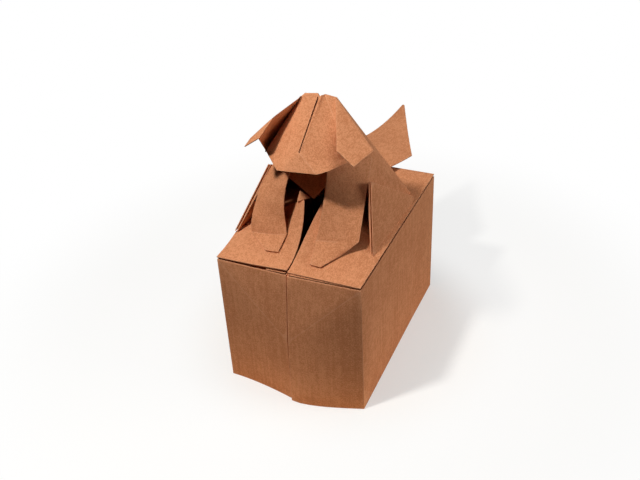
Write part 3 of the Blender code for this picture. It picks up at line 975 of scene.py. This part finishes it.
@dataclass
class Bib(FoldedPart):
    """Pointed bib between the legs, in two layers."""

    notch: Place = (0.0, 37.9, 55.1)
    peak: Place = (1.6, 39.5, 55.8)
    ear_root: Place = (6.4, 39.0, 55.4)
    upper: Place = (12.0, 36.8, 32.2)
    left_wing: Place = (10.5, 29.3, 23.5)
    right_wing: Place = (8.8, 30.8, 29.4)
    point: Place = (0.0, 27.2, 16.8)
    under_back: float = 0.8
    under_wider: float = 0.9

    def patches(self) -> list[FoldedPatch]:
        """The bib and the layer behind it."""
        return [self.layer("bib", 0.0, 0.0),
                self.layer("bib_under_layer", self.under_back, self.under_wider)]

    def layer(self, name: str, back: float, wider: float) -> FoldedPatch:
        """Lay out one layer of the bib.

        Args:
            name: the piece's name.
            back: how far the layer lies behind the front one.
            wider: how far its wings stand out past the front one's.

        Returns:
            The patch.
        """
        corners = {"notch": at(self.notch) + Vector((0.0, back, 0.0)) * MM,
                   "point": at(self.point) + Vector((0.0, back, -0.5 * wider)) * MM}
        panels: list[Panel] = []
        for hand in Hand:
            wing = self.right_wing if hand is Hand.RIGHT else self.left_wing
            for corner, place, grown in (("peak", self.peak, 0.0), ("wing", wing, wider),
                                         ("ear_root", self.ear_root, 0.0),
                                         ("upper", self.upper, 0.0)):
                x, from_front, height = place
                corners[f"{corner}_{hand.tag}"] = at(
                    (x + grown, from_front + back, height - grown), hand)
            panels += [("notch", "point", f"wing_{hand.tag}"),
                       ("notch", f"wing_{hand.tag}", f"upper_{hand.tag}", f"peak_{hand.tag}"),
                       (f"peak_{hand.tag}", f"upper_{hand.tag}", f"ear_root_{hand.tag}")]
        return FoldedPatch(name, corners, panels, cuts=7, bow=0.15, thickness=0.4)


# ---- Head ----


@dataclass
class HeadSide:
    """Corners of one side of the head."""

    hand: Hand
    gusset_share: float
    jaw: Place
    ear_tip: Place
    ear_back: Place
    cheek: Place
    ridge_end: Place = (15.8, 16.4, 46.1)
    ridge_bend: Place | None = None
    valley_top: Place | None = None
    bend_foot: Place | None = None
    pleat_foot: Place | None = None


@dataclass
class Head(FoldedPart):
    """Face with its parting and muzzle, and the two folded ears."""

    right: HeadSide = field(default_factory=lambda: HeadSide(
        Hand.RIGHT, gusset_share=0.51, jaw=(8.4, 13.7, 36.6), ear_tip=(22.2, 15.6, 41.3),
        ear_back=(24.7, 29.3, 41.2), cheek=(16.4, 27.4, 36.6), valley_top=(9.9, 31.0, 48.0),
        bend_foot=(12.2, 16.5, 37.3)))
    left: HeadSide = field(default_factory=lambda: HeadSide(
        Hand.LEFT, gusset_share=0.08, jaw=(7.8, 13.7, 35.4), ear_tip=(21.6, 15.6, 42.1),
        ear_back=(24.4, 25.5, 40.2), cheek=(17.4, 24.2, 36.5), ridge_bend=(13.5, 24.0, 50.9),
        pleat_foot=(21.2, 31.1, 32.3)))
    brow: Place = (0.0, 17.8, 41.8)
    lip: Place = (0.9, 38.2, 55.85)
    parting_foot: Place = (-0.45, 18.1, 42.1)
    parting_top: Place = (-0.75, 38.2, 55.6)
    roll: Place = (0.23, -0.55, 0.80)
    roll_at_notch: float = 0.35
    roll_at_lip: float = 0.75

    def side_net(self, part: HeadSide) -> tuple[dict[str, Vector], list[Panel]]:
        """Corners and panels of one side of the head, ear and pleat included.

        Args:
            part: the side.

        Returns:
            The corners by name, and the panels between them.
        """
        places = {
            "peak": PEAK, "ear_root": EAR_ROOT, "cheek": part.cheek, "jaw": part.jaw,
            "gusset": between(EAR_ROOT, part.ridge_end, part.gusset_share),
            "ridge_end": part.ridge_end, "ear_tip": part.ear_tip, "ear_back": part.ear_back,
            "ridge_bend": part.ridge_bend, "valley_top": part.valley_top,
            "bend_foot": part.bend_foot, "pleat_foot": part.pleat_foot,
        }
        corners = {f"{name}_{part.hand.tag}": at(place, part.hand)
                   for name, place in places.items() if place}
        if part.valley_top:
            panels = [("lip", "peak", "brow"), ("brow", "peak", "valley_top"),
                      ("brow", "valley_top", "bend_foot"), ("brow", "bend_foot", "jaw"),
                      ("valley_top", "cheek", "bend_foot"), ("peak", "ear_root", "valley_top"),
                      ("ear_root", "gusset", "valley_top"),
                      ("valley_top", "gusset", "ridge_end"),
                      ("valley_top", "ridge_end", "cheek"), ("ear_back", "ear_root", "gusset"),
                      ("ear_back", "gusset", "ridge_end"), ("ear_back", "ridge_end", "ear_tip")]
        else:
            panels = [("parting_top", "peak", "parting_foot"),
                      ("parting_foot", "peak", "gusset"), ("parting_foot", "gusset", "cheek"),
                      ("parting_foot", "cheek", "jaw"), ("brow", "parting_foot", "jaw"),
                      ("peak", "ear_root", "gusset"), ("gusset", "ridge_bend", "pleat_foot"),
                      ("ridge_bend", "ridge_end", "pleat_foot"),
                      ("gusset", "pleat_foot", "cheek"), ("ear_back", "ear_root", "gusset"),
                      ("ear_back", "gusset", "ridge_bend"),
                      ("ear_back", "ridge_bend", "ear_tip"),
                      ("ridge_bend", "ridge_end", "ear_tip")]
        shared = ("lip", "brow", "parting_foot", "parting_top")
        return corners, [tuple(name if name in shared else f"{name}_{part.hand.tag}"
                               for name in panel) for panel in panels]

    def patches(self) -> list[FoldedPatch]:
        """The head with the rolled edge of its parting, and the paper under the parting.

        Returns:
            The patches.
        """
        roll = Vector(self.roll) * MM
        corners = {"brow": at(self.brow), "notch": at(NOTCH) + roll * self.roll_at_notch,
                   "lip": at(self.lip) + roll * self.roll_at_lip,
                   "parting_foot": at(self.parting_foot), "parting_top": at(self.parting_top)}
        panels: list[Panel] = [("brow", "notch", "lip"), ("brow", "jaw_right", "jaw_left")]
        for part in (self.right, self.left):
            side_corners, side_panels = self.side_net(part)
            corners |= side_corners
            panels += side_panels
        soft = (("brow", "valley_top_right"), ("brow", "bend_foot_right"),
                ("brow", "peak_right"), ("valley_top_right", "bend_foot_right"),
                ("parting_foot", "peak_left"), ("parting_foot", "gusset_left"),
                ("parting_foot", "cheek_left"), ("parting_foot", "jaw_left"),
                ("brow", "jaw_left"), ("brow", "lip"))
        crisp = (("peak_right", "valley_top_right"), ("ear_root_right", "gusset_right"),
                 ("brow", "jaw_right"))
        return [FoldedPatch("head", corners, panels, cuts=9, bow=0.25, thickness=0.4,
                            soft_folds=soft, crisp_folds=crisp), self.parting_backing()]

    @staticmethod
    def parting_backing() -> FoldedPatch:
        """Lay out paper under the parting, so that nothing shows through it.

        Returns:
            The patch.
        """
        corners = {"foot_left": at((-2.2, 20.0, 41.7)), "foot_right": at((1.8, 20.0, 41.7)),
                   "top_right": at((1.2, 37.6, 53.4)), "top_left": at((-1.6, 37.6, 53.4))}
        panels: list[Panel] = [("foot_left", "foot_right", "top_right", "top_left")]
        return FoldedPatch("parting_backing", corners, panels, cuts=5, bow=0.0, thickness=0.3,
                           edge_round=0.05)


# ---- Hind flaps and tail ----


@dataclass
class HindFlap(FoldedPart):
    """Flap of two layers that stands along one side of the lid."""

    hand: Hand
    foot: Place
    top: Place = (21.9, 33.4, 25.2)
    heel: Place = (28.9, BOX_DEPTH - 24.2, 1.9)
    rear: Place = (29.3, BOX_DEPTH - 28.2, -0.25)
    layer_gap: float = 0.9
    layer_back: float = 0.3

    def layer(self, name: str, inset: float) -> FoldedPatch:
        """Lay out one layer of the flap.

        Args:
            name: the layer's name.
            inset: how far it stands inside the outer layer.

        Returns:
            The patch.
        """
        corners = {}
        for corner, (x, from_front, height) in (("foot", self.foot), ("top", self.top),
                                                ("heel", self.heel), ("rear", self.rear)):
            corners[corner] = at((x - inset, from_front + self.layer_back * inset, height),
                                 self.hand)
        panels: list[Panel] = [("foot", "top", "heel"), ("foot", "heel", "rear")]
        return FoldedPatch(f"hind_flap_{self.hand.tag}_{name}", corners, panels, cuts=11,
                           bow=0.3, thickness=0.35)

    def patches(self) -> list[FoldedPatch]:
        """Both layers of the flap."""
        return [self.layer("outer", 0.0), self.layer("inner", self.layer_gap)]


@dataclass
class Tail(FoldedPart):
    """Leaf-shaped tail that leaves the back low down and curls up towards its tip."""

    root_half: float = 6.0
    root_height: float = 5.0
    corner: Place = (17.4, BOX_DEPTH + 8.4, 2.5)
    tip: Place = (0.5, BOX_DEPTH + 47.3, 7.4)
    right_sag: float = 1.8
    left_sag: float = 4.2
    spine_up: float = 1.0
    belly: float = 3.2
    belly_at: float = 0.6
    root_rows: int = 6
    rows: int = 12
    columns: int = 6

    def edge(self, hand: Hand) -> list[Place]:
        """Places along one edge.

        Args:
            hand: side of the edge.

        Returns:
            The places, from the root on the back to the tip.
        """
        slope = (RUMP_FROM_FRONT - EAR_ROOT[1]) / EAR_ROOT[2]
        root = (hand.value * self.root_half, RUMP_FROM_FRONT - slope * self.root_height,
                self.root_height)
        corner = (hand.value * self.corner[0], *self.corner[1:])
        tip = (hand.value * self.tip[0], *self.tip[1:])
        sag = self.right_sag if hand is Hand.RIGHT else self.left_sag
        x, from_front, height = between(corner, tip, 0.5)
        middle = (x, from_front, height - 2.0 * sag)
        x, from_front, height = between(root, corner, self.belly_at)
        belly = (x, from_front - self.belly, height)
        return ([bent(root, belly, corner, row / self.root_rows)
                 for row in range(self.root_rows)]
                + [bent(corner, middle, tip, row / self.rows) for row in range(self.rows + 1)])

    def patches(self) -> list[FoldedPatch]:
        """The tail, with a low spine along its middle.

        Returns:
            The one patch.
        """
        corners: dict[str, Vector] = {}
        panels: list[Panel] = []
        for row, (left, right) in enumerate(zip(self.edge(Hand.LEFT), self.edge(Hand.RIGHT))):
            for column in range(self.columns + 1):
                share = column / self.columns
                x, from_front, height = between(left, right, share)
                ridge = self.spine_up * right[0] / self.corner[0] * (1 - abs(2 * share - 1))
                corners[f"{row}_{column}"] = at((x, from_front, height + ridge))
                if row and column:
                    panels.append(cell(row, column))
        return [FoldedPatch("tail", corners, panels, cuts=2, bow=0.3)]


# ---- Stage ----


@dataclass(frozen=True)
class PhotoCamera:
    """Camera at the photograph's viewing angle, in degrees and millimetres."""

    azimuth: float = 25.36
    elevation: float = 34.3
    roll: float = -3.38
    look_at: Place = (-6.36, 0.06, 46.62)
    distance: float = 371.4
    lens: float = 48.51
    sensor_width: float = 36.0
    clip_start: float = 10.0

    def make(self) -> bpy.types.Object:
        """Place the camera and make it the scene's own.

        Returns:
            The camera.
        """
        azimuth, elevation, roll = (math.radians(angle) for angle in
                                    (self.azimuth, self.elevation, self.roll))
        back = Vector((math.sin(azimuth) * math.cos(elevation),
                       -math.cos(azimuth) * math.cos(elevation), math.sin(elevation)))
        right = Vector((math.cos(azimuth), math.sin(azimuth), 0.0))
        up = back.cross(right)
        turned_right = right * math.cos(roll) + up * math.sin(roll)
        turned_up = up * math.cos(roll) - right * math.sin(roll)
        data = bpy.data.cameras.new("photo_camera")
        data.lens = self.lens
        data.sensor_width = self.sensor_width
        data.clip_start = self.clip_start * MM
        camera = bpy.data.objects.new("photo_camera", data)
        bpy.context.collection.objects.link(camera)
        pose = Matrix((turned_right, turned_up, back)).transposed().to_4x4()
        pose.translation = (Vector(self.look_at) + back * self.distance) * MM
        camera.matrix_world = pose
        bpy.context.scene.camera = camera
        return camera


@dataclass(frozen=True)
class Lamp:
    """Round area lamp that points at the middle of the dog, at a place in metres."""

    name: str
    place: Place
    power: float
    size: float
    aim_height: float = 0.06

    def make(self) -> bpy.types.Object:
        """Hang the lamp.

        Returns:
            The lamp.
        """
        data = bpy.data.lights.new(self.name, "AREA")
        data.shape = "DISK"
        data.size = self.size
        data.energy = self.power
        lamp = bpy.data.objects.new(self.name, data)
        bpy.context.collection.objects.link(lamp)
        lamp.location = self.place
        back = Vector(self.place) - Vector((0.0, 0.0, self.aim_height))
        lamp.rotation_euler = back.to_track_quat("Z", "Y").to_euler()
        return lamp


@dataclass(frozen=True)
class Studio:
    """Table, white surroundings and three lamps; reaches are metres from the table's middle."""

    lamps: tuple[Lamp, ...] = (
        Lamp("key_lamp", (-0.130, -0.220, 0.444), 1.56, 0.045),
        Lamp("overhead_lamp", (0.0, 0.0, 0.96), 2.5, 0.8),
        Lamp("side_lamp", (0.79, 0.20, 0.27), 3.2, 0.5))
    table_size: float = 6.0
    table_drop: float = 0.0001
    table_colour: Colour = (1.0, 0.98, 0.92)
    near_bounce: Colour = (0.90, 0.74, 0.52)
    far_bounce: Colour = (0.04, 0.035, 0.03)
    bounce_reach: tuple[float, float] = (0.055, 0.105)
    shadow_depth: float = 0.55
    shadow_reach: tuple[float, float] = (0.045, 0.080)
    shadow_paling: float = 0.32
    white_reach: tuple[float, float] = (0.11, 0.19)

    def table(self) -> bpy.types.Object:
        """Lay a table that keeps the dog's shadow and is white to the camera further out.

        Light that falls on it is thrown back only close to the box.

        Returns:
            The table.
        """
        bpy.ops.object.select_all(action="DESELECT")
        bpy.ops.mesh.primitive_plane_add(size=self.table_size,
                                         location=(0.0, 0.0, -self.table_drop))
        top = bpy.context.active_object
        top.name = "table"
        material = bpy.data.materials.new("white_table")
        bench = Bench(material)
        plain, near, far = (
            bench.node("ShaderNodeBsdfDiffuse", Color=(*colour, 1.0))
            for colour in (self.table_colour, self.near_bounce, self.far_bounce))
        glow = bench.node("ShaderNodeEmission", Color=WHITE, Strength=1.0)
        seen = bench.camera_rays()
        place = bench.node("ShaderNodeTexCoord", out="Object")
        reach = bench.node("ShaderNodeVectorMath", {"operation": "LENGTH"}, "Value",
                           in_0=place)
        bounce = bench.mix(reach.ramp(*self.bounce_reach), near, far)
        lit = bench.mix(seen, bounce, plain)
        faint = 1.0 - self.shadow_depth
        paler = faint + self.shadow_paling
        white = seen * (reach.ramp(*self.shadow_reach, faint, paler)
                        + reach.ramp(*self.white_reach, 0.0, 1.0 - paler))
        bench.close("ShaderNodeOutputMaterial", bench.mix(white, lit, glow))
        top.data.materials.append(material)
        return top

    @staticmethod
    def surroundings() -> bpy.types.World:
        """White to the camera, with no light of its own on the dog.

        Returns:
            The world.
        """
        world = bpy.data.worlds.new("studio")
        bpy.context.scene.world = world
        bench = Bench(world)
        dark, white = (bench.node("ShaderNodeBackground", Color=WHITE, Strength=strength)
                       for strength in (0.0, 1.0))
        bench.close("ShaderNodeOutputWorld", bench.mix(bench.camera_rays(), dark, white))
        return world

    def make(self) -> None:
        """Set the table, the surroundings, the lamps and the view."""
        self.table()
        self.surroundings()
        for lamp in self.lamps:
            lamp.make()
        bpy.context.scene.view_settings.view_transform = "Standard"


def main() -> None:
    """Fold the dog, piece by piece, and light it."""
    logging.basicConfig(level=logging.INFO, format="%(name)s %(message)s")
    PhotoCamera().make()
    paper = KraftPaper().make()
    lid = Lid()
    parts: tuple[FoldedPart, ...] = (
        BoxTray(), lid, Cape(lid), Bib(), Head(),
        HindFlap(Hand.RIGHT, (27.7, 19.3, 0.55)), HindFlap(Hand.LEFT, (31.0, 16.6, 1.5)),
        Tail())
    pieces = [piece for part in parts for piece in part.make(paper)]
    Studio().make()
    log.info("%d pieces folded", len(pieces))


if __name__ == "__main__":
    main()
